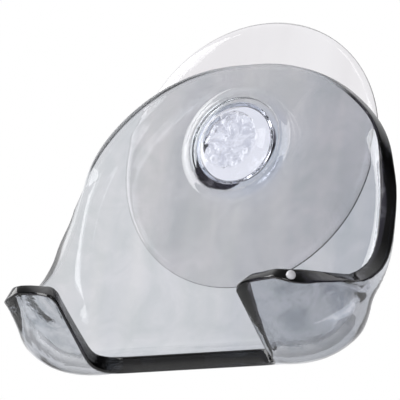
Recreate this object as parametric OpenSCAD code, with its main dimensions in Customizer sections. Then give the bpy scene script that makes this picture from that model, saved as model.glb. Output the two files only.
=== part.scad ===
// Shower razor holder: a smoked clear shell moulded in one piece, carried by a clear
// suction cup whose round knob is pushed through a hole in the shell's back plate.
// The wall plane is y = 0, the cup's axis runs along Y through the origin, +Z is up,
// and the shell's two arms reach towards -Y, away from the wall.

/* [Shell plate] */
// Thickness of the moulded sheet
sheet_t = 2.9; // [2.4:0.1:3.6]
// Height of the plate's top edge above the cup's axis
top_h = 13.5; // [12:0.1:18]
// Radius of the arc along the top edge
top_r = 29; // [26:0.2:32]
// Bearing where the top arc gives way to the side arc, in degrees above level
shoulder_a = 36; // [28:1:45]
// Radius of the arc down each side
side_r = 27.7; // [26:0.1:30]
// Bearing where the side arc gives way to the corner arc, in degrees
corner_a = -26; // [-34:1:-16]
// Radius of each lower corner of the plate
corner_r = 9.8; // [8.6:0.1:11]

/* [Turn of the sheet towards the front] */
// Turn at the top edge, in degrees
top_turn = 17; // [12:1:22]
// Turn at the shoulders
shoulder_turn = 6; // [4:1:10]
// Turn above mid height, where the side wall starts to rise
side_turn = 46; // [38:1:54]
// Turn just below mid height, where the side wall is steepest
waist_turn = 80; // [70:1:86]
// Turn at the flanks, where the rim dips between plate and arm
flank_turn = 59; // [52:1:66]
// Turn where each arm begins
root_turn = 87; // [80:1:94]
// Turn at the back corner of each arm
elbow_turn = 104; // [98:1:110]
// Turn at the outer side of each arm
arm_turn = 135; // [124:1:138]
// Turn of the floor between the arms, before the gap is cut
floor_turn = 116; // [110:1:122]

/* [Bend radius on the front face] */
// Bend radius at the top edge
top_bend = 2.6; // [2:0.1:4]
// Bend radius at the shoulders
shoulder_bend = 2.5; // [2:0.1:4]
// Bend radius above mid height, where the side wall starts to rise
side_bend = 2.1; // [1.8:0.1:3]
// Bend radius just below mid height, where the side wall is steepest
waist_bend = 1.7; // [1.5:0.1:2.6]
// Bend radius at the flanks, where the rim dips between plate and arm
flank_bend = 4.2; // [3.4:0.1:5]
// Bend radius where each arm begins
root_bend = 3.7; // [3.2:0.1:4.6]
// Bend radius at the back corner of each arm
elbow_bend = 9.1; // [8:0.1:10]
// Bend radius at the outer side of each arm
arm_bend = 9.8; // [9:0.1:11]
// Bend radius of the floor
floor_bend = 8.1; // [7.4:0.1:9]

/* [Straight land past the bend] */
// Straight length at the top edge
top_land = 0.5; // [0.3:0.1:1.5]
// Straight length at the shoulders
shoulder_land = 3.4; // [2.6:0.1:4.4]
// Straight length above mid height, where the side wall starts to rise
side_land = 0.2; // [0.1:0.1:1]
// Straight length just below mid height, where the side wall is steepest
waist_land = 0.3; // [0.1:0.1:1]
// Straight length at the flanks, where the rim dips between plate and arm
flank_land = 1.2; // [0.6:0.1:2]
// Straight length where each arm begins
root_land = 14.3; // [12:0.1:16]
// Straight length at the back corner of each arm
elbow_land = 14.7; // [12:0.1:16]
// Straight length at the outer side of each arm
arm_land = 8.3; // [7:0.1:10]
// Straight length of the floor
floor_land = 14.5; // [12:0.1:16]

/* [Handle gap] */
// Width of the gap at its floor
gap_w = 34.8; // [28:0.2:38]
// Width of the gap between the arms' tips
gap_tip_w = 36.8; // [34:0.2:40]
// Turn of the sheet at the gap's floor, in degrees
gap_turn = 74; // [60:1:80]
// Radius in each corner of the gap's floor
gap_corner_r = 5; // [2:0.5:8]
// Radius on the inner corner of each arm's tip
tip_r = 2; // [1:0.5:4]

/* [Hub] */
// Outer radius of the raised collar round the hole
collar_r = 10.4; // [9.8:0.1:12]
// Height of the collar above the plate
collar_h = 0.8; // [0.4:0.1:1.2]
// Clear ring between the knob and the collar
collar_gap = 1; // [0.4:0.1:1.5]

/* [Suction cup] */
// Outer radius of the cup
cup_r = 25; // [22:0.5:28]
// Width of the flat sealing ring
seal_w = 2.2; // [1.5:0.1:4]
// Thickness of the skirt at its rim
rim_t = 0.8; // [0.6:0.1:1.2]
// Depth of the hollow behind the cup's centre
hollow_d = 1.4; // [1:0.1:2.5]
// Thickness of the skirt at its centre
centre_t = 1.3; // [1.1:0.1:2.2]
// Radius of the flat land under the stem
land_r = 7.2; // [6.9:0.1:7.3]
// Height of the shoulder that the shell's back face turns on
shoulder_t = 0.3; // [0.2:0.1:0.6]
// Radius of the neck
neck_r = 6.4; // [5.8:0.1:6.6]
// Radius of the knob
knob_r = 7.6; // [7.3:0.1:8]
// Thickness of the knob
knob_t = 2.7; // [2:0.1:4]
// Radius on the knob's front edge
knob_edge_r = 1.1; // [0.5:0.1:1.5]
// Depth of the dish in the knob's front
dish_d = 0.5; // [0.2:0.1:0.8]

/* [Fits] */
// Running clearance between the neck and the shell's hole, on the radius
neck_clear = 0.06; // [0.02:0.01:0.1]
// End float of the plate between shoulder and knob
end_float = 0.1; // [0.05:0.05:0.3]

/* [Hidden] */
$fn = 96;

smoke = [0.45, 0.48, 0.53, 0.6];
vinyl = [0.90, 0.90, 0.93, 0.5];

// Depths along Y, counted out from the wall
land_y = hollow_d + centre_t;
plate_back_y = land_y + shoulder_t;
plate_front_y = plate_back_y + sheet_t;
knob_back_y = plate_front_y + end_float;
knob_front_y = knob_back_y + knob_t;
hole_r = neck_r + neck_clear;

// Centres of the outline's arcs in the plate, each tangent to the next
function toward(a) = [cos(a), sin(a)];
top_c = [0, top_h - top_r];
side_c = top_c + (top_r - side_r) * toward(shoulder_a);
corner_c = side_c + (side_r - corner_r) * toward(corner_a);
floor_z = corner_c[1] - corner_r;

// Bearings of the stations: floor, arm, elbow, root, flank, waist, side, shoulder and top
station_at = [-90, -63, -44, -34, -16, -4, 11, 30, 90];
function stations(values) = [for (i = [0:len(values) - 1]) [station_at[i], values[i]]];
turns = stations([floor_turn, arm_turn, elbow_turn, root_turn, flank_turn, waist_turn, side_turn,
                  shoulder_turn, top_turn]);
bends = stations([floor_bend, arm_bend, elbow_bend, root_bend, flank_bend, waist_bend, side_bend,
                  shoulder_bend, top_bend]);
lands = stations([floor_land, arm_land, elbow_land, root_land, flank_land, waist_land, side_land,
                  shoulder_land, top_land]);

// A station table read at one bearing, averaged over a spread so that the rim runs smooth
spread = 7;
function blend(a, table) =
    (lookup(a - spread, table) + lookup(a - spread / 2, table) + lookup(a, table)
     + lookup(a + spread / 2, table) + lookup(a + spread, table)) / 5;

// Outline of the plate as [point, bearing], from the top down the right side and back
top_steps = 12;
side_steps = 20;
corner_steps = 18;
floor_steps = 5;
function arc(centre, r, from, to, steps) =
    [for (i = [0:steps - 1]) let (a = from + (to - from) * i / steps)
        [centre + r * toward(a), a]];
right_side = concat(
    arc(top_c, top_r, 90, shoulder_a, top_steps),
    arc(side_c, side_r, shoulder_a, corner_a, side_steps),
    arc(corner_c, corner_r, corner_a, -90, corner_steps),
    [for (i = [0:floor_steps]) [[corner_c[0] * (1 - i / floor_steps), floor_z], -90]]);
half = len(right_side);
function mirrored(p) = [[-p[0][0], p[0][1]], 180 - p[1]];
outline = concat(right_side, [for (i = [half - 2:-1:1]) mirrored(right_side[i])]);
columns = len(outline);
function own_bearing(a) = a > 90 ? 180 - a : a;

// One section of the sheet: it leaves the plate, bends by its turn, then runs straight
bend_rows = 8;
land_rows = 4;
rows = bend_rows + land_rows;
function section_turn(a, k) = blend(a, turns) * min(1, k / bend_rows);
function section_land(a, k) = blend(a, lands) * max(0, k - bend_rows) / land_rows;
function sheet_point(column, k, height) =
    let (
        q = outline[column][0],
        n = toward(outline[column][1]),
        a = own_bearing(outline[column][1]),
        r = blend(a, bends),
        turn = section_turn(a, k),
        land = section_land(a, k),
        out = r * sin(turn) + land * cos(turn) + height * sin(turn),
        fore = r * (1 - cos(turn)) + land * sin(turn) - height * cos(turn)
    )
    [q[0] + n[0] * out, -(plate_front_y + fore), q[1] + n[1] * out];

// Section of the floor between the arms, which the gap is cut from
floor_r = blend(-90, bends);
floor_end = blend(-90, turns);
floor_run = blend(-90, lands);
past_gap = floor_end - gap_turn;
tip_reach = floor_r * sin(past_gap) + floor_run * cos(past_gap);
side_lean = atan2((gap_tip_w - gap_w) / 2, tip_reach);

// Places its children on the floor's front face: x across, y along the sheet, z through it
module on_floor(turn, land) {
    out = floor_r * sin(turn) + land * cos(turn);
    fore = floor_r * (1 - cos(turn)) + land * sin(turn);
    translate([0, -(plate_front_y + fore), floor_z - out])
        rotate([270 - turn, 0, 0])
            children();
}

module bowl() {
    front = [for (k = [0:rows]) for (c = [0:columns - 1]) sheet_point(c, k, 0)];
    back = [for (k = [0:rows]) for (c = [0:columns - 1]) sheet_point(c, k, sheet_t)];
    size = len(front);
    function at(k, c) = k * columns + c % columns;
    polyhedron(
        points = concat(front, back),
        faces = concat(
            [[for (c = [0:columns - 1]) at(0, c)]],
            [[for (c = [columns - 1:-1:0]) size + at(0, c)]],
            [for (k = [0:rows - 1]) for (c = [0:columns - 1])
                [at(k, c), at(k + 1, c), at(k + 1, c + 1)]],
            [for (k = [0:rows - 1]) for (c = [0:columns - 1])
                [at(k, c), at(k + 1, c + 1), at(k, c + 1)]],
            [for (k = [0:rows - 1]) for (c = [0:columns - 1])
                [size + at(k, c), size + at(k + 1, c + 1), size + at(k + 1, c)]],
            [for (k = [0:rows - 1]) for (c = [0:columns - 1])
                [size + at(k, c), size + at(k, c + 1), size + at(k + 1, c + 1)]],
            [for (c = [0:columns - 1]) [at(rows, c), size + at(rows, c), size + at(rows, c + 1)]],
            [for (c = [0:columns - 1]) [at(rows, c), size + at(rows, c + 1), at(rows, c + 1)]]
        ),
        convexity = 8
    );
}

// The handle gap, cut square to the sheet at its floor, with rounded floor corners
module gap_cut() {
    deep = 30;
    past_tip = 12;
    corner_steps = 10;
    centre = [gap_w / 2 - gap_corner_r * (1 - sin(side_lean)) / cos(side_lean), gap_corner_r];
    far = tip_reach + past_tip;
    side = concat(
        [for (i = [0:corner_steps])
            centre + gap_corner_r * toward(-90 + (90 - side_lean) * i / corner_steps)],
        [[gap_w / 2 + far * tan(side_lean), far]]);
    on_floor(gap_turn, 0)
        translate([0, 0, -deep])
            linear_extrude(height = 2 * deep)
                polygon(concat(side, [for (i = [len(side) - 1:-1:0]) [-side[i][0], side[i][1]]]));
}

// What rounds the inner corner of one arm's tip
module tip_cut() {
    deep = 2 * sheet_t;
    over = 1;
    on_floor(floor_end, floor_run)
        translate([gap_tip_w / 2, -tip_r, -deep])
            linear_extrude(height = 2 * deep)
                difference() {
                    translate([-over, 0]) square([tip_r + over, tip_r + over]);
                    translate([tip_r, 0]) circle(r = tip_r);
                }
}

// A ring or disc round the cup's axis, spun from its [radius, depth] outline
module spun() {
    rotate([90, 0, 0]) rotate_extrude() children();
}

module holder_shell() {
    color(smoke)
        difference() {
            union() {
                bowl();
                spun()
                    translate([0, plate_back_y + sheet_t / 2])
                        square([collar_r, sheet_t / 2 + collar_h]);
            }
            spun()
                translate([0, plate_front_y])
                    square([knob_r + collar_gap, 2 * collar_h]);
            spun() translate([0, plate_back_y - 1]) square([hole_r, sheet_t + 2]);
            gap_cut();
            tip_cut();
            mirror([1, 0, 0]) tip_cut();
        }
}

module cup_stem() {
    edge_r = knob_edge_r;
    color(vinyl)
        spun()
            difference() {
                union() {
                    translate([0, land_y]) square([land_r, shoulder_t - end_float / 2]);
                    translate([0, land_y]) square([neck_r, knob_back_y - land_y + 0.01]);
                    translate([0, knob_back_y]) square([knob_r, knob_t - edge_r]);
                    translate([0, knob_back_y]) square([knob_r - edge_r, knob_t]);
                    translate([knob_r - edge_r, knob_front_y - edge_r]) circle(r = edge_r);
                }
                polygon([[0, knob_front_y - dish_d], [knob_r - 2 * edge_r, knob_front_y],
                         [knob_r - 2 * edge_r, knob_front_y + 1], [0, knob_front_y + 1]]);
                translate([-2 * knob_r, 0]) square([2 * knob_r, 2 * knob_front_y]);
            }
}

module cup_skirt() {
    seal_r = cup_r - seal_w;
    color(vinyl)
        spun()
            polygon([[0, hollow_d], [land_r, hollow_d * 0.92], [seal_r, 0], [cup_r, 0],
                     [cup_r, rim_t], [land_r, land_y], [0, land_y]]);
}

holder_shell();
cup_stem();
cup_skirt();
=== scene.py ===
from math import asin, atan2, cos, degrees, hypot, pi, radians, sin, tan

import bpy
from mathutils import Matrix, Vector, noise


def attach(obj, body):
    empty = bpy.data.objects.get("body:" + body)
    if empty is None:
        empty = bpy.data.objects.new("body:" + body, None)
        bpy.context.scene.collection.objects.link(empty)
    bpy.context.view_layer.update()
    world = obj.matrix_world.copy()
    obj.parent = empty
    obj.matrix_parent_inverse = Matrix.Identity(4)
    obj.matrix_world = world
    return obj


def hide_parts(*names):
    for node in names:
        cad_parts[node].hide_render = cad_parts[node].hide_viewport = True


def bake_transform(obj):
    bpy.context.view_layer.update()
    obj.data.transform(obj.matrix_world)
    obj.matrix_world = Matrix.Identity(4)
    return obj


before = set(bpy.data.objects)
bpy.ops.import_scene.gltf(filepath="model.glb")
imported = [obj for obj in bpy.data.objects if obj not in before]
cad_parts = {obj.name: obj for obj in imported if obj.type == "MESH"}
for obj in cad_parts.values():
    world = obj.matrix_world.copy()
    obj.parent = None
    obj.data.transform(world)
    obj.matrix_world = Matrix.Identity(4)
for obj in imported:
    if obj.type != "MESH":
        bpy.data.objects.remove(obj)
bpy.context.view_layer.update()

MM = 0.001  # lengths are written in mm and angles in degrees
WELD = 0.001 * MM
bpy.ops.object.select_all(action="DESELECT")


# ---------------------------------------------------------------- shell
# The shell is one injection moulding in smoke-grey clear styrene, polished all over: a flat back
# plate whose border turns forwards into a bowl, low along the top, and rising into two arms round
# an open gap for the razor's handle. The suction cup's knob snaps through the hole in the plate.
sheet, rim_round = 2.9, 0.45
plate_front = 5.9
# The plate's outline is three arcs on either side, top, side and corner, and a straight floor
top_h, top_r, shoulder_a = 13.5, 29.0, 36.0
side_r, corner_a, corner_r = 27.7, -26.0, 9.8
# The gap begins where the floor has turned forwards by gap_turn and widens towards the arms' tips
gap_w, gap_tip_w, gap_turn, gap_corner_r, tip_r = 34.8, 37.4, 74.0, 5.0, 2.0
gap_draft = 1.5

# Bearings round the plate from the floor up to the top, and what the sheet does at each
station_at = (-90, -63, -44, -34, -16, -4, 11, 30, 90)
turn_at = (116, 135, 104, 87, 59, 80, 46, 6, 17)
bend_at = (8.1, 9.8, 9.1, 3.7, 4.2, 1.7, 2.1, 2.5, 2.6)
land_at = (14.5, 8.3, 14.7, 14.3, 1.2, 0.3, 0.2, 3.4, 0.5)


def clamped(v):
    return min(1.0, max(0.0, v))


def toward(a):
    """Unit vector in the plate, in x and z, at a bearing from +X."""
    return Vector((cos(radians(a)), sin(radians(a))))


top_c = Vector((0, top_h - top_r))
side_c = top_c + (top_r - side_r) * toward(shoulder_a)
corner_c = side_c + (side_r - corner_r) * toward(corner_a)
floor_z = corner_c.y - corner_r
top_len = top_r * radians(90 - shoulder_a)
side_len = side_r * radians(shoulder_a - corner_a)
corner_len = corner_r * radians(corner_a + 90)
corner_end = top_len + side_len + corner_len
half_len = corner_end + corner_c.x
corner_start = top_len + side_len


def lookup(a, values):
    """Value at bearing a, in a straight line between the stations."""
    if a <= station_at[0]:
        return values[0]
    for a0, a1, v0, v1 in zip(station_at, station_at[1:], values, values[1:]):
        if a <= a1:
            return v0 + (v1 - v0) * (a - a0) / (a1 - a0)
    return values[-1]


def blended(a, values):
    """Value at bearing a, averaged over a few degrees to each side."""
    return sum(lookup(a + d, values) for d in (-7, -3.5, 0, 3.5, 7)) / 5


def on_plate(u):
    """Point and bearing of the plate's outline, u mm from the top down the right side."""
    if u < top_len:
        a = 90 - degrees(u / top_r)
        return top_c + top_r * toward(a), a
    if u < top_len + side_len:
        a = shoulder_a - degrees((u - top_len) / side_r)
        return side_c + side_r * toward(a), a
    if u < corner_end:
        a = corner_a - degrees((u - top_len - side_len) / corner_r)
        return corner_c + corner_r * toward(a), a
    return Vector((half_len - u, floor_z)), -90.0


def section(u, s):
    """Reach outwards, reach forwards and turn of the sheet's front face, s mm past the plate."""
    a = on_plate(u)[1]
    r, full = blended(a, bend_at), radians(blended(a, turn_at))
    if s <= 0:
        return s, 0.0, 0.0
    t = min(s / r, full)
    land = s - r * t
    return r * sin(t) + land * cos(t), r * (1 - cos(t)) + land * sin(t), t


def run_length(u):
    """Length of the sheet from the plate's outline to its rim."""
    a = on_plate(u)[1]
    return blended(a, bend_at) * radians(blended(a, turn_at)) + blended(a, land_at)


def shell_point(u, s, depth=0.0, left=False):
    """Point of the sheet, depth mm behind its front face."""
    q, a = on_plate(u)
    n = toward(a)
    out, fore, t = section(u, s)
    out += depth * sin(t)
    p = Vector((q.x + n.x * out, -(plate_front + fore - depth * cos(t)), q.y + n.y * out))
    return Vector((-p.x, p.y, p.z)) if left else p


def to_outline(x, s, depth=0.0):
    """How far round the outline the sheet has x at s, on the floor or the corner beside it."""
    if x <= corner_c.x:
        return half_len - x
    u = corner_end
    search_rounds = 8
    for _ in range(search_rounds):
        out, _, t = section(u, s)
        reach = corner_r + out + depth * sin(t)
        u = corner_end - corner_r * asin(min(0.99, (x - corner_c.x) / reach))
    return u


# The gap in the sheet, as x across and s along the sheet. The tip's place and the sheet's length
# there depend on each other, so they are found in a few rounds.
floor_r, floor_full = blended(-90, bend_at), radians(blended(-90, turn_at))
gap_s = floor_r * radians(gap_turn)
tip_s = run_length(half_len)
for _ in range(4):
    tip_s = run_length(to_outline(gap_tip_w / 2 + tip_r, tip_s - tip_r))
past = floor_full - radians(gap_turn)
lean = atan2((gap_tip_w - gap_w) / 2, floor_r * sin(past) + blended(-90, land_at) * cos(past))
nook = Vector((gap_w / 2 - gap_corner_r * (1 - sin(lean)) / cos(lean), gap_s + gap_corner_r))
tip_c = Vector((gap_tip_w / 2 + tip_r, tip_s - tip_r))


def gap_edge(part, t, inset):
    """Point of the gap's edge, moved into the sheet by inset. Parts: floor, nook, side and tip."""
    if part == 0:
        return Vector((nook.x * t, gap_s - inset))
    if part == 1:
        a = radians(-90) + (radians(90) - lean) * t
        return nook + (gap_corner_r + inset) * Vector((cos(a), sin(a)))
    if part == 2:
        a = -lean
        start = nook + (gap_corner_r + inset) * Vector((cos(a), sin(a)))
        return start.lerp(Vector((gap_tip_w / 2 + inset, tip_c.y)), t)
    a = radians(180 - 90 * t)
    return tip_c + (tip_r - inset) * Vector((cos(a), sin(a)))


# The mesh has columns down the right half, mirrored to the left, and rows along the sheet from
# the plate to the rim. The gap's side follows one column and its floor follows one row.
top_n, side_n, corner_n, floor_n = 24, 30, 26, 16
half_n = top_n + side_n + corner_n + floor_n
gap_col = top_n + side_n + corner_n - 2
row_n, gap_row = 28, 10
lead_in = 2.0


def base_u(k):
    """Way round the outline to column k, before the columns are drawn to the gap."""
    for n, length, start in ((top_n, top_len, 0), (side_n, side_len, top_len),
                             (corner_n, corner_len, corner_start)):
        if k <= n:
            return start + length * k / n
        k -= n
    return corner_end + corner_c.x * k / floor_n


def walk(parts, steps):
    """Even steps along parts of the gap's edge, each part given as (number, from, to, length)."""
    total = sum(part[3] for part in parts)
    out = []
    for i in range(steps + 1):
        d = total * i / steps
        for number, t0, t1, length in parts:
            if d <= length + 1e-9:
                out.append((number, t0 + (t1 - t0) * d / length))
                break
            d -= length
    return out


corner_start_col = top_n + side_n
nook_len = (gap_corner_r + rim_round) * (pi / 2 - lean)
tip_len = (tip_r - rim_round) * pi / 2
side_run = tip_c.y - nook.y
floor_walk = walk([(0, 0, 1, nook.x), (1, 0, 0.5, nook_len / 2)], half_n - gap_col)
side_walk = walk([(1, 0.5, 1, nook_len / 2), (2, 0, 1, side_run), (3, 0, 0.5, tip_len / 2)],
                 row_n - gap_row)

# U and S hold each grid point's way round the outline and along the sheet: first an even grid
U = [[0.0] * (row_n + 1) for _ in range(half_n + 1)]
S = [[0.0] * (row_n + 1) for _ in range(half_n + 1)]
gap_share = (gap_s - rim_round + lead_in) / (tip_s - rim_round + lead_in)
for k in range(half_n + 1):
    end_s = run_length(base_u(k)) - rim_round
    for j in range(row_n + 1):
        if j <= gap_row:
            f = gap_share * j / gap_row
        else:
            f = gap_share + (1 - gap_share) * (j - gap_row) / (row_n - gap_row)
        U[k][j] = base_u(k)
        S[k][j] = -lead_in + (end_s + lead_in) * f

# The columns round the corner lean over to the gap's side, and the top row follows the arm's tip
tip_mid = gap_edge(3, 0.5, rim_round)
tip_u = to_outline(tip_mid.x, tip_mid.y)
for k in range(gap_col + 1):
    share = max(0.0, (base_u(k) - corner_start) / (base_u(gap_col) - corner_start))
    for j in range(row_n + 1):
        if share > 0:
            side_x = gap_edge(2, 0, rim_round).x if S[k][j] < nook.y else (
                nook.x + gap_corner_r + rim_round + (S[k][j] - nook.y) * tan(lean))
            ease = clamped(S[gap_col][j] / (gap_s - rim_round))
            goal = base_u(gap_col) + (to_outline(side_x, S[gap_col][j]) - base_u(gap_col)) * ease
            U[k][j] = corner_start + (goal - corner_start) * share
    U[k][row_n] = corner_start + (tip_u - corner_start) * share if share > 0 else base_u(k)
    old_end = S[k][row_n]
    new_end = run_length(U[k][row_n]) - rim_round
    if share > 0:
        a = on_plate(U[k][row_n])[1]
        x = corner_c.x + (corner_r + section(U[k][row_n], new_end)[0]) * cos(radians(a))
        if x < tip_c.x:
            new_end = tip_c.y + (max(0.0, (tip_r - rim_round) ** 2 - (tip_c.x - x) ** 2)) ** 0.5
    for j in range(row_n + 1):
        S[k][j] = -lead_in + (S[k][j] + lead_in) * (new_end + lead_in) / (old_end + lead_in)
for k in range(gap_col + 1, half_n + 1):
    for j in range(gap_row + 1):
        ease = clamped(S[k][j] / (gap_s - rim_round))
        part, t = floor_walk[half_n - k]
        x = gap_edge(part, t, rim_round).x
        U[k][j] = base_u(k) + (to_outline(x, S[k][j]) - base_u(k)) * ease

# The gap's border stays on its curve. Beside each border point, edge holds the point of the true
# edge, outside the rounding.
gap_border = [(half_n - i, gap_row, part, t) for i, (part, t) in enumerate(floor_walk)]
gap_border += [(gap_col, gap_row + i, part, t) for i, (part, t) in enumerate(side_walk)]
edge = {}
for k, j, part, t in gap_border:
    inner, outer = gap_edge(part, t, rim_round), gap_edge(part, t, 0)
    U[k][j], S[k][j] = to_outline(inner.x, inner.y), inner.y
    edge[k, j] = to_outline(outer.x, outer.y), outer.y
for k in range(gap_col):
    u, s = U[k][row_n], S[k][row_n]
    edge[k, row_n] = u, run_length(u)
    if s < run_length(u) - rim_round - 1e-6:
        x = corner_c.x + (corner_r + section(u, s)[0]) * cos(radians(on_plate(u)[1]))
        far = Vector((x, s)) - tip_c
        outer = tip_c + far * (tip_r / far.length)
        edge[k, row_n] = to_outline(outer.x, outer.y), outer.y

# The grid between is evened out, each point drawn to the middle of its neighbours
smoothing_passes, first_smoothed_row = 60, 3
fixed = {(k, j) for k, j, part, t in gap_border}
for _ in range(smoothing_passes):
    for k in range(corner_start_col + 2, half_n - 2):
        for j in range(first_smoothed_row, row_n):
            if (k, j) in fixed or (k > gap_col and j > gap_row):
                continue
            near = ((k - 1, j), (k + 1, j), (k, j - 1), (k, j + 1))
            U[k][j] = sum(U[a][b] for a, b in near) / 4
            S[k][j] = sum(S[a][b] for a, b in near) / 4

# B is U for the back face: the gap's sides run square across the shell with some draft, so the
# back edge stands in a little
B = [list(line) for line in U]
for k in range(half_n + 1):
    share = clamped((k - corner_start_col) / (gap_col - corner_start_col))
    share = share * share * (3 - 2 * share)
    for j in range(row_n + 1):
        if share > 0 and (k <= gap_col or j <= gap_row):
            x = shell_point(U[k][j], S[k][j]).x
            x -= gap_draft * max(0.0, (S[k][j] - gap_s) / (tip_s - gap_s))
            B[k][j] = U[k][j] + (to_outline(x, S[k][j], sheet) - U[k][j]) * share

# Rings of the hub from the hole outwards, as radius and height above the plate
hole_r, hole_round = 6.46, 0.2
hub = [(hole_r + hole_round, 0), (6.95, 0), (7.2, 0), (7.4, 0), (7.6, 0), (7.8, 0), (8.0, 0),
       (8.2, 0), (8.38, 0.01), (8.5, 0.1), (8.56, 0.24), (8.6, 0.46), (8.66, 0.64), (8.78, 0.76),
       (8.98, 0.8), (9.25, 0.77), (9.55, 0.67), (9.9, 0.5), (10.25, 0.29), (10.6, 0.12),
       (10.9, 0.03), (11.15, 0)]

# Further rows cover the flat plate between the hub and the sheet's first row
plate_rows = 6
columns = 2 * half_n
ring_n = len(hub) + plate_rows - 1
all_rows = ring_n + row_n + 1


def column_side(c):
    """Column of the right half that column c is, or mirrors, and whether it is on the left."""
    return (c, False) if c <= half_n else (columns - c, True)


def shell_grid_point(c, row, depth):
    """Mesh point at a column and row: rings round the hole, then the plate, then the sheet."""
    k, left = column_side(c % columns)
    start = shell_point(U[k][0], -lead_in, 0, left)
    if row >= ring_n:
        j = row - ring_n
        return shell_point(B[k][j] if depth else U[k][j], S[k][j], depth, left)
    a = atan2(start.z, start.x)
    if row < len(hub):
        r, up = hub[row]
        up = 0 if depth else up
        return Vector((r * cos(a), -(plate_front + up - depth), r * sin(a)))
    f = (row - len(hub) + 1) / plate_rows
    r = hub[-1][0]
    p = Vector((r * cos(a), start.y, r * sin(a))).lerp(start, f)
    return Vector((p.x, p.y + depth, p.z))


bpy.ops.mesh.primitive_grid_add(x_subdivisions=columns, y_subdivisions=all_rows - 1, size=1)
shell = bpy.context.object
shell.name = shell.data.name = "smoked_shell"
col_of = shell.data.attributes.new("column", "INT", "POINT")
row_of = shell.data.attributes.new("row", "INT", "POINT")
for i, v in enumerate(shell.data.vertices):
    row, c = divmod(i, columns + 1)
    v.co = shell_grid_point(c, row, 0) * MM
    col_of.data[i].value = c % columns
    row_of.data[i].value = row


def in_gap(f):
    cols = [col_of.data[v].value for v in f.vertices]
    rows = [row_of.data[v].value for v in f.vertices]
    ks = [column_side(c)[0] for c in cols]
    return min(ks) >= gap_col and min(rows) >= ring_n + gap_row


bpy.ops.object.mode_set(mode="EDIT")
bpy.ops.mesh.select_mode(type="FACE")
bpy.ops.mesh.select_all(action="DESELECT")
bpy.ops.object.mode_set(mode="OBJECT")
col_of, row_of = shell.data.attributes["column"], shell.data.attributes["row"]
for f in shell.data.polygons:
    f.select = in_gap(f)
bpy.ops.object.mode_set(mode="EDIT")
bpy.ops.mesh.delete(type="FACE")
bpy.ops.mesh.select_all(action="SELECT")
bpy.ops.mesh.remove_doubles(threshold=WELD)

# The back face is a copy of the front face, one sheet's thickness behind it. The attribute layer
# says where a vertex lies.
on_front, on_back, on_edge = 0, 1, 2
bpy.ops.mesh.select_all(action="SELECT")
bpy.ops.mesh.duplicate()
bpy.ops.object.mode_set(mode="OBJECT")
col_of, row_of = shell.data.attributes["column"], shell.data.attributes["row"]
layer_of = shell.data.attributes.new("layer", "INT", "POINT")
for v in shell.data.vertices:
    if v.select:
        v.co = shell_grid_point(col_of.data[v.index].value, row_of.data[v.index].value, sheet) * MM
        layer_of.data[v.index].value = on_back


# The rim is rounded: the front face's border is drawn out step by step over the edge to the back
def border_frame(c, row):
    """Border point of the front face, the way through the sheet and the way out of its edge."""
    k, left = column_side(c)
    j = row - ring_n
    f = shell_point(U[k][j], S[k][j], 0, left)
    n = (shell_point(B[k][j], S[k][j], sheet, left) - f) / sheet
    b = shell_point(*edge[k, j], 0, left) - f
    b = (b - n * (b.dot(n) / n.dot(n))).normalized()
    return f, n, b


def hole_frame(c, row):
    """The same for the hole, which is all one row."""
    k, left = column_side(c)
    start = shell_point(U[k][0], -lead_in, 0, left)
    a = atan2(start.z, start.x)
    out = Vector((cos(a), 0, sin(a)))
    f = out * (hole_r + hole_round) + Vector((0, -plate_front, 0))
    return f, Vector((0, 1, 0)), -out


def edge_steps(radius, quarter):
    """Steps over the edge, as way out and way through, with quarter steps to each rounding."""
    steps = [(radius * sin(pi / 2 * i / quarter), radius * (1 - cos(pi / 2 * i / quarter)))
             for i in range(1, quarter + 1)]
    return steps + [(o, sheet - d) for o, d in reversed(steps)] + [(0, sheet)]


def is_border(c, row):
    k = column_side(c)[0]
    j = row - ring_n
    return (j == row_n and k <= gap_col) or (k == gap_col and j >= gap_row) or (
        j == gap_row and k >= gap_col)


def roll_over(test, frame_of, radius, quarter):
    """Draws the chosen border of the front face over the edge, in rounded steps, to the back."""
    bpy.ops.object.mode_set(mode="EDIT")
    bpy.ops.mesh.select_mode(type="VERT")
    bpy.ops.mesh.select_all(action="DESELECT")
    bpy.ops.mesh.select_mode(type="EDGE")
    bpy.ops.object.mode_set(mode="OBJECT")
    mesh = shell.data
    cols, rows, layer = (mesh.attributes[n].data for n in ("column", "row", "layer"))
    uses = {}
    for f in mesh.polygons:
        for key in f.edge_keys:
            uses[key] = uses.get(key, 0) + 1
    for e in mesh.edges:
        e.select = uses.get(tuple(sorted(e.vertices)), 0) == 1 and all(
            layer[v].value == on_front and test(cols[v].value, rows[v].value) for v in e.vertices)
    for out, deep in edge_steps(radius, quarter):
        bpy.ops.object.mode_set(mode="EDIT")
        bpy.ops.mesh.extrude_edges_move()
        bpy.ops.object.mode_set(mode="OBJECT")
        mesh = shell.data
        cols, rows, layer = (mesh.attributes[n].data for n in ("column", "row", "layer"))
        for v in mesh.vertices:
            if v.select:
                f, n, b = frame_of(cols[v.index].value, rows[v.index].value)
                v.co = (f + b * out + n * deep) * MM
                layer[v.index].value = on_edge


roll_over(is_border, border_frame, rim_round, quarter=4)
roll_over(lambda c, row: row == 0, hole_frame, hole_round, quarter=3)


# Two attributes say where the plastic carries painted shade and where its cut edge is soft. Above a
# bearing on each side the edge fades from painted shade to soft; the recess round the knob has two
# crescents of painted shade.
left_shade_a, right_shade_a, edge_fade_a = -14.0, 58.0, 11.0
# Crescents of painted shade in the recess, each as mean radius, swing and bearing
shade_crescents = ((4.3, 4.9, -127), (3.5, 4.5, -2))
crescent_start_r, crescent_rise, crescent_fall = 7.2, 0.2, 0.15
toned_rings = len(hub) - 5


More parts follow.
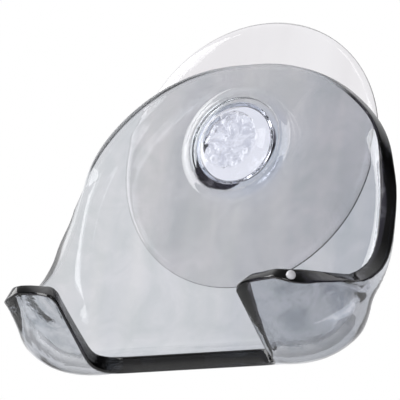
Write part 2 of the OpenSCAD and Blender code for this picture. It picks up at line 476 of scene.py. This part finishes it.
def edge_painted_shade(c, row):
    """How much painted shade the sheet's cut edge gets: full round the gap, on the arms and down
    the right side.
    """
    k, left = column_side(c)
    j = row - ring_n
    if j < gap_row:
        return 0.0
    if j < row_n or k >= gap_col:
        return 1.0
    start = left_shade_a if left else right_shade_a
    return clamped((start - on_plate(U[k][j])[1]) / edge_fade_a)


def recess_painted_shade(co):
    """Painted shade in the recess round the knob: a dark crescent low on the left, a thin one at
    right.
    """
    r, a = hypot(co.x, co.z) / MM, atan2(co.z, co.x)
    outer = max(mean + swing * cos(a - radians(bearing)) for mean, swing, bearing in shade_crescents)
    return clamped((outer - r) / crescent_fall) * clamped((r - crescent_start_r) / crescent_rise)


mesh = shell.data
cols, rows, layer = (mesh.attributes[n].data for n in ("column", "row", "layer"))
mesh.attributes.new("edge", "FLOAT", "CORNER")
mesh.attributes.new("soft", "FLOAT", "CORNER")
tone, soft = mesh.attributes["edge"].data, mesh.attributes["soft"].data
# The cut edge's faces and the recess's front faces get their painted shade here; the rest of the
# edge is soft
for f in mesh.polygons:
    if sum(layer[v].value == on_edge for v in f.vertices) >= 2:
        for i in f.loop_indices:
            v = mesh.loops[i].vertex_index
            if rows[v].value > len(hub):
                tone[i].value = edge_painted_shade(cols[v].value, rows[v].value)
                soft[i].value = 1 - tone[i].value
    elif all(layer[v].value == on_front and rows[v].value < toned_rings for v in f.vertices):
        for i in f.loop_indices:
            tone[i].value = recess_painted_shade(mesh.vertices[mesh.loops[i].vertex_index].co)
bpy.ops.object.mode_set(mode="EDIT")
bpy.ops.mesh.select_all(action="SELECT")
bpy.ops.mesh.remove_doubles(threshold=WELD)
bpy.ops.mesh.normals_make_consistent(inside=False)
bpy.ops.object.mode_set(mode="OBJECT")
for name in ("column", "row", "layer"):
    shell.data.attributes.remove(shell.data.attributes[name])
bpy.ops.object.shade_smooth()


def feed(nt, socket, value):
    """Gives a socket its value, or links it to the output that feeds it."""
    if isinstance(value, bpy.types.NodeSocket):
        nt.links.new(value, socket)
    else:
        socket.default_value = value


def noise_at(nt, place, scale, detail, distortion=0.0, roughness=0.5):
    made = nt.nodes.new("ShaderNodeTexNoise")
    for name, value in (("Vector", place), ("Scale", scale), ("Detail", detail),
                        ("Distortion", distortion), ("Roughness", roughness)):
        feed(nt, made.inputs[name], value)
    return made.outputs["Fac"]


def ramped(nt, value, start, end, top=1.0, smooth=False):
    """Rises from 0 where value is start to top where it is end, and stays level beyond."""
    made = nt.nodes.new("ShaderNodeMapRange")
    made.interpolation_type = "SMOOTHSTEP" if smooth else "LINEAR"
    for name, given in (("Value", value), ("From Min", start), ("From Max", end), ("To Max", top)):
        feed(nt, made.inputs[name], given)
    return made.outputs["Result"]


def mixed(nt, share, a, b, blend="MIX"):
    made = nt.nodes.new("ShaderNodeMix")
    made.data_type, made.blend_type, made.clamp_factor = "RGBA", blend, True
    for name, value in (("Factor", share), ("A", a), ("B", b)):
        feed(nt, made.inputs[name], value)
    return made.outputs["Result"]


def reckoned(nt, operation, *values):
    made = nt.nodes.new("ShaderNodeMath")
    made.operation = operation
    for socket, value in zip(made.inputs, values):
        feed(nt, socket, value)
    return made.outputs["Value"]


def painted(nt, attribute):
    made = nt.nodes.new("ShaderNodeAttribute")
    made.attribute_name = attribute
    return made.outputs["Fac"]


def surface_group():
    """Moulded surface: slow waves left by the mould, flow streaks, and a gloss that varies."""
    g = bpy.data.node_groups.new("moulded_surface", "ShaderNodeTree")
    face = g.interface
    for name, usual in (("Wave size", 60), ("Gloss", 0.03)):
        face.new_socket(name, in_out="INPUT", socket_type="NodeSocketFloat").default_value = usual
    for name in ("Height", "Roughness", "Haze"):
        face.new_socket(name, in_out="OUTPUT", socket_type="NodeSocketFloat")
    inp, out = g.nodes.new("NodeGroupInput"), g.nodes.new("NodeGroupOutput")
    place = g.nodes.new("ShaderNodeTexCoord").outputs["Object"]
    waves = noise_at(g, place, scale=inp.outputs["Wave size"], detail=1.5)
    smear = ramped(g, noise_at(g, place, scale=240, detail=5), 0.35, 0.75, top=0.05)
    flow = g.nodes.new("ShaderNodeMapping")
    flow.inputs["Rotation"].default_value = (0, radians(8), 0)
    flow.inputs["Scale"].default_value = (1.0, 1.0, 0.14)
    feed(g, flow.inputs["Vector"], place)
    streaks = ramped(g, noise_at(g, flow.outputs["Vector"], scale=130, detail=3), 0.35, 0.65)
    feed(g, out.inputs["Height"], waves)
    feed(g, out.inputs["Roughness"], reckoned(g, "ADD", inp.outputs["Gloss"], smear))
    feed(g, out.inputs["Haze"], streaks)
    return g


moulded_surface = surface_group()


def plastic(name, ior, transmission, wave_size, gloss):
    """A plastic's material, with its node tree, its shader and its moulded surface."""
    material = bpy.data.materials.new(name)
    material.use_nodes = True
    nt = material.node_tree
    bsdf = nt.nodes["Principled BSDF"]
    bsdf.inputs["IOR"].default_value = ior
    bsdf.inputs["Transmission Weight"].default_value = transmission
    grain = nt.nodes.new("ShaderNodeGroup")
    grain.node_tree = moulded_surface
    grain.inputs["Wave size"].default_value = wave_size
    grain.inputs["Gloss"].default_value = gloss
    return material, nt, bsdf, grain


def bumped(nt, bsdf, height, strength):
    bump = nt.nodes.new("ShaderNodeBump")
    bump.inputs["Strength"].default_value = strength
    bump.inputs["Distance"].default_value = 0.3 * MM
    feed(nt, bump.inputs["Height"], height)
    feed(nt, bsdf.inputs["Normal"], bump.outputs["Normal"])


def soaked(nt, colour, density):
    """Light is taken up in the plastic's depth as well as tinted at its face."""
    soak = nt.nodes.new("ShaderNodeVolumeAbsorption")
    soak.inputs["Color"].default_value = colour
    soak.inputs["Density"].default_value = density
    feed(nt, nt.nodes["Material Output"].inputs["Volume"], soak.outputs["Volume"])


def spot(nt, place, centre, full_r, end_r, share):
    """A soft spot round a centre: share of it as far as full_r, nothing past end_r."""
    away = nt.nodes.new("ShaderNodeVectorMath")
    away.operation = "DISTANCE"
    away.inputs[1].default_value = [v * MM for v in centre]
    feed(nt, away.inputs[0], place)
    return ramped(nt, away.outputs["Value"], end_r * MM, full_r * MM, top=share)


smoke, nt, bsdf, grain = plastic("smoked_clear_styrene", ior=1.49, transmission=1.0,
                                 wave_size=55, gloss=0.015)
place = nt.nodes.new("ShaderNodeTexCoord").outputs["Object"]
sides = nt.nodes.new("ShaderNodeSeparateXYZ")
feed(nt, sides.inputs["Vector"], place)

# The grey is streaked and clouded, and deeper towards the right
streaked = mixed(nt, grain.outputs["Haze"], (0.80, 0.82, 0.845, 1), (0.93, 0.93, 0.925, 1))
clear_part = ramped(nt, noise_at(nt, place, scale=150, detail=4, distortion=0.8), 0.35, 0.65)
clouds = mixed(nt, clear_part, (0.86, 0.88, 0.88, 1), (1.0, 0.99, 1.0, 1))
clouded = mixed(nt, 1.0, streaked, clouds, "MULTIPLY")
rightward = ramped(nt, sides.outputs["X"], -16 * MM, 30 * MM, smooth=True)
deeper = mixed(nt, rightward, clouded, (0.74, 0.75, 0.78, 1), "MULTIPLY")

# The arms are lighter, with blots and one dark oval in the right arm
low_down = ramped(nt, sides.outputs["Z"], -20 * MM, -28 * MM)
forward = ramped(nt, sides.outputs["Y"], -12 * MM, -18 * MM, top=1.1)
on_arms = reckoned(nt, "MULTIPLY", low_down, forward)
lighter = mixed(nt, reckoned(nt, "MULTIPLY", on_arms, 0.4), deeper, (0.95, 0.96, 0.99, 1))
blot = ramped(
    nt, noise_at(nt, place, scale=190, detail=5, distortion=0.6, roughness=0.62), 0.5, 0.68)
oval = spot(nt, place, (25.8, -23.5, -39.8), full_r=1.6, end_r=3.6, share=0.9)
blots = reckoned(nt, "MAXIMUM", reckoned(nt, "MULTIPLY", blot, on_arms), oval)
blotched = mixed(nt, blots, lighter, (0.58, 0.61, 0.64, 1), "MULTIPLY")

# The cut edge is painted nearly black as painted shade, with a painted sheen in patches and two
# painted highlights as lighter spots along the floor
painted_sheen = ramped(nt, noise_at(nt, place, scale=170, detail=3), 0.56, 0.75)
edge_shade_and_sheen = mixed(nt, painted_sheen, (0.002, 0.0017, 0.0027, 1), (0.09, 0.08, 0.095, 1))
corner_highlight = spot(nt, place, (-15.6, -12.5, -41.9), full_r=0.7, end_r=1.7, share=1.0)
floor_highlight = spot(nt, place, (8.5, -11.4, -41.6), full_r=1.5, end_r=5.5, share=0.3)
# The painted shade of the edge is taken off at the two painted highlights
shade_less_highlights = reckoned(nt, "SUBTRACT", painted(nt, "edge"), corner_highlight)
shade_less_highlights = reckoned(nt, "SUBTRACT", shade_less_highlights, floor_highlight)
feed(nt, bsdf.inputs["Base Color"], mixed(nt, shade_less_highlights, blotched, edge_shade_and_sheen))

# The soft part of the edge is rougher, and the arms ripple
feed(nt, bsdf.inputs["Roughness"],
     reckoned(nt, "MULTIPLY_ADD", painted(nt, "soft"), 0.4, grain.outputs["Roughness"]))
ripple = noise_at(nt, place, scale=230, detail=3, distortion=1.0)
uneven = reckoned(nt, "MULTIPLY_ADD", ripple, on_arms, grain.outputs["Height"])
bumped(nt, bsdf, uneven, strength=0.3)
soaked(nt, (0.03, 0.07, 0.13, 1), density=60)
shell.data.materials.append(smoke)

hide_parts("holder_shell")
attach(shell, "shell")

# A small round pale bead sits on the right arm's edge
bead_col, bead_r = 63, 0.85
f, n, b = border_frame(bead_col, ring_n + row_n)
bpy.ops.mesh.primitive_uv_sphere_add(segments=32, ring_count=16, radius=bead_r * MM,
                                     location=(f + n * (sheet / 2) + b * rim_round) * MM)
bead = bpy.context.object
bead.name = bead.data.name = "pale_bead"
bpy.ops.object.transform_apply(location=True, rotation=True, scale=True)
bpy.ops.object.shade_smooth()
pearl, nt, bsdf, grain = plastic("pale_bead_plastic", ior=1.49, transmission=0.35,
                                 wave_size=60, gloss=0.12)
pearly = mixed(nt, grain.outputs["Haze"], (0.85, 0.85, 0.90, 1), (0.97, 0.96, 1.0, 1))
feed(nt, bsdf.inputs["Base Color"], pearly)
feed(nt, bsdf.inputs["Roughness"], grain.outputs["Roughness"])
bead.data.materials.append(pearl)
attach(bead, "shell")


# ---------------------------------------------------------------- suction cup
# The suction cup is one soft moulding in clear vinyl: a thin cone-shaped skirt that seals on the
# wall, and a stem whose round knob is pushed through the shell's hole and holds it by its edge.
cup_round = 128
disc_r, disc_y = 5.4, 8.4
cup_profile = [(0.3 + 0.35 * i, disc_y) for i in range(14)] + [
    # edge of the front disc, the cone round it, and the rounded edge of the knob
    (5.15, disc_y + 0.02), (5.28, disc_y + 0.05), (5.42, disc_y + 0.03), (5.56, disc_y - 0.08),
    (5.8, 8.18), (6.3, 7.95), (6.8, 7.68), (7.15, 7.42), (7.42, 7.1), (7.56, 6.78), (7.6, 6.46),
    (7.52, 6.2), (7.34, 6.05), (7.0, 6.0),
    # back of the knob, the neck, and the shoulder under the plate
    (6.65, 6.0), (6.46, 5.94), (6.4, 5.78), (6.4, 3.2), (6.44, 3.02), (6.55, 2.95), (6.95, 2.95),
    (7.1, 2.9), (7.22, 2.76), (7.45, 2.64),
    # the skirt: down its front to the feathered rim, over the seal, and up the hollow behind
    (9.0, 2.42), (12.0, 2.12), (15.0, 1.82), (18.0, 1.52), (21.0, 1.22), (23.2, 0.98),
    (24.0, 0.8), (24.6, 0.5), (24.9, 0.28), (25.0, 0.14), (24.95, 0.04), (24.8, 0.0), (22.9, 0.0),
    (22.6, 0.03), (20.0, 0.24), (16.0, 0.55), (12.0, 0.84), (8.0, 1.14), (6.0, 1.28),
    (4.0, 1.36), (2.0, 1.4), (0.5, 1.4)]
first_r, first_y = cup_profile[0]
bpy.ops.mesh.primitive_circle_add(vertices=cup_round, radius=first_r * MM,
                                  location=(0, -first_y * MM, 0), rotation=(pi / 2, 0, 0))
cup = bpy.context.object
cup.name = cup.data.name = "suction_cup"
bpy.ops.object.transform_apply(location=True, rotation=True, scale=True)
bpy.ops.object.mode_set(mode="EDIT")
bpy.ops.mesh.select_mode(type="EDGE")
bpy.ops.mesh.select_all(action="SELECT")
bpy.ops.mesh.extrude_edges_move()
bpy.ops.mesh.merge(type="CENTER")
bpy.ops.object.mode_set(mode="OBJECT")

# The first circle has been closed to a point; from here it is drawn on along the profile
for group in (cup.data.polygons, cup.data.edges, cup.data.vertices):
    group.foreach_set("select", [False] * len(group))
for e in cup.data.edges:
    ends = [cup.data.vertices[v].co for v in e.vertices]
    e.select = all(abs(hypot(co.x, co.z) - first_r * MM) < WELD for co in ends)
bpy.ops.object.mode_set(mode="EDIT")
for (r0, y0), (r1, y1) in zip(cup_profile, cup_profile[1:]):
    bpy.ops.mesh.extrude_edges_move(TRANSFORM_OT_translate={"value": (0, (y0 - y1) * MM, 0)})
    bpy.ops.transform.resize(value=(r1 / r0, 1, r1 / r0), center_override=(0, -y1 * MM, 0))
bpy.ops.mesh.extrude_edges_move()
bpy.ops.mesh.merge(type="CENTER")
bpy.ops.mesh.select_all(action="SELECT")
bpy.ops.mesh.remove_doubles(threshold=WELD)
bpy.ops.mesh.normals_make_consistent(inside=False)
bpy.ops.object.mode_set(mode="OBJECT")
bpy.ops.object.shade_smooth()

# The knob's front is pebbled in two sizes of lump, with a small gate mark in the middle
pebble, disc_fade, disc_slack = 0.7, 0.6, 0.1
lump_scale, fine_scale, fine_share = 0.55, 1.3, 0.6
dot_r, dot_h = 0.6, 0.16
skirt_start_r, skirt_fade, skirt_top = 7.3, 1.5, 3
frost = cup.data.attributes.new("frost", "FLOAT", "POINT")
skirt = cup.data.attributes.new("skirt", "FLOAT", "POINT")
for v in cup.data.vertices:
    r, deep = hypot(v.co.x, v.co.z) / MM, -v.co.y / MM
    skirt.data[v.index].value = (
        clamped((r - skirt_start_r) / skirt_fade) if deep < skirt_top else 0.0)
    if r < disc_r and deep > disc_y - disc_slack:
        fine = fine_share * noise.noise(v.co / MM * fine_scale)
        lump = noise.noise(v.co / MM * lump_scale) + fine
        fade = min(1.0, (disc_r - r) / disc_fade)
        dot = dot_h * max(0.0, 1 - (r / dot_r) ** 2)
        v.co.y -= (pebble * lump * fade + dot) * MM
        frost.data[v.index].value = fade

vinyl, nt, bsdf, grain = plastic("clear_soft_vinyl", ior=1.41, transmission=1.0,
                                 wave_size=180, gloss=0.05)
place = nt.nodes.new("ShaderNodeTexCoord").outputs["Object"]

# The skirt is warm and faintly streaked, the knob cool, and its pebbled front milky in patches
skirt_tint = mixed(nt, grain.outputs["Haze"], (0.86, 0.845, 0.85, 1), (0.91, 0.90, 0.905, 1))
patch = ramped(nt, noise_at(nt, place, scale=380, detail=5, distortion=2.5), 0.4, 0.64)
milky = mixed(nt, patch, (0.50, 0.53, 0.64, 1), (0.84, 0.88, 0.98, 1))
frosted = painted(nt, "frost")
knob_tint = mixed(nt, frosted, (0.86, 0.89, 0.97, 1), milky)
feed(nt, bsdf.inputs["Base Color"], mixed(nt, painted(nt, "skirt"), knob_tint, skirt_tint))
feed(nt, bsdf.inputs["Roughness"],
     reckoned(nt, "MULTIPLY_ADD", frosted, 0.08, grain.outputs["Roughness"]))
bumped(nt, bsdf, grain.outputs["Height"], strength=0.25)
soaked(nt, (0.45, 0.40, 0.45, 1), density=25)
cup.data.materials.append(vinyl)

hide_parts("cup_stem", "cup_skirt")
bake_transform(cup)


# ---------------------------------------------------------------- camera, floor and light
# The camera looks up at the holder from below and a little to its right, as the photograph does.
aim = Vector((2.36, -20.0, -15.40)) * MM
azimuth, elevation, tilt = radians(31.15), radians(-18.44), radians(6.61)
distance, focal_px, photo_px, sensor_mm = 994.4 * MM, 5772.0, 400, 36
behind = Vector((sin(azimuth) * cos(elevation), -cos(azimuth) * cos(elevation), sin(elevation)))
right = (-behind).cross(Vector((0, 0, 1))).normalized()
up = right.cross(-behind)
right, up = right * cos(tilt) + up * sin(tilt), up * cos(tilt) - right * sin(tilt)
camera = bpy.data.objects.new("camera", bpy.data.cameras.new("camera"))
bpy.context.scene.collection.objects.link(camera)
camera.matrix_world = Matrix.Translation(aim + behind * distance) @ Matrix(
    (right, up, behind)).transposed().to_4x4()
camera.data.sensor_width = sensor_mm
camera.data.lens = focal_px / photo_px * sensor_mm
camera.data.clip_start, camera.data.clip_end = 0.05, 50
bpy.context.scene.camera = camera

bpy.ops.mesh.primitive_plane_add(size=12, location=(0, 0, -0.45))
floor = bpy.context.object
floor.name = "floor"
pale = bpy.data.materials.new("pale_floor")
pale.use_nodes = True
bsdf = pale.node_tree.nodes["Principled BSDF"]
bsdf.inputs["Base Color"].default_value = (0.9, 0.9, 0.9, 1)
bsdf.inputs["Roughness"].default_value = 0.9
floor.data.materials.append(pale)

# The studio is white behind the object and dimmer to the sides, so that polished edges read dark,
# but lighter up to the left. The camera itself sees plain white.
world = bpy.data.worlds.new("studio")
bpy.context.scene.world = world
world.use_nodes = True
nt = world.node_tree
heading = nt.nodes.new("ShaderNodeTexCoord").outputs["Generated"]


def along(way):
    """How far a ray's heading agrees with way: 1 along it and -1 against it."""
    made = nt.nodes.new("ShaderNodeVectorMath")
    made.operation = "DOT_PRODUCT"
    made.inputs[1].default_value = way
    feed(nt, made.inputs[0], heading)
    return made.outputs["Value"]


def shade_ramp(value, steps):
    ramp = nt.nodes.new("ShaderNodeValToRGB")
    while len(ramp.color_ramp.elements) < len(steps):
        ramp.color_ramp.elements.new(0.5)
    for step, (at, grey) in zip(ramp.color_ramp.elements, steps):
        step.position = at
        step.color = (grey, grey, grey * 1.02, 1)
    feed(nt, ramp.inputs["Fac"], value)
    return ramp.outputs["Color"]


away_share = ramped(nt, along(-behind), -1, 1)
dark_side = shade_ramp(away_share, ((0.0, 0.2), (0.22, 0.15), (0.42, 0.04), (0.60, 0.08),
                                    (0.71, 0.85), (0.78, 1.0)))
light_side = shade_ramp(away_share, ((0.0, 0.35), (0.22, 0.28), (0.42, 0.25), (0.60, 0.55),
                                     (0.71, 0.95), (0.78, 1.0)))
side_share = ramped(nt, along(Vector((-0.62, -0.25, 0.74)).normalized()), 0.1, 0.75)
shades = mixed(nt, side_share, dark_side, light_side)
seen = nt.nodes.new("ShaderNodeLightPath").outputs["Is Camera Ray"]
feed(nt, nt.nodes["Background"].inputs["Color"], mixed(nt, seen, shades, (1, 1, 1, 1)))


def softbox(name, way, span, wide, high, power):
    """A soft light that far from the object along way, facing it."""
    light = bpy.data.lights.new(name, "AREA")
    light.shape, light.size, light.size_y, light.energy = "RECTANGLE", wide, high, power
    box = bpy.data.objects.new(name, light)
    bpy.context.scene.collection.objects.link(box)
    way = Vector(way).normalized()
    box.location = aim + way * span
    box.rotation_euler = way.to_track_quat("Z", "Y").to_euler()
    box.visible_camera = False


softbox("left_softbox", (-0.88, -0.33, 0.33), span=1.2, wide=0.9, high=1.1, power=15)
softbox("front_softbox", (0.30, -0.90, 0.34), span=1.4, wide=0.6, high=0.8, power=6)

bpy.context.scene.view_settings.view_transform = "Standard"
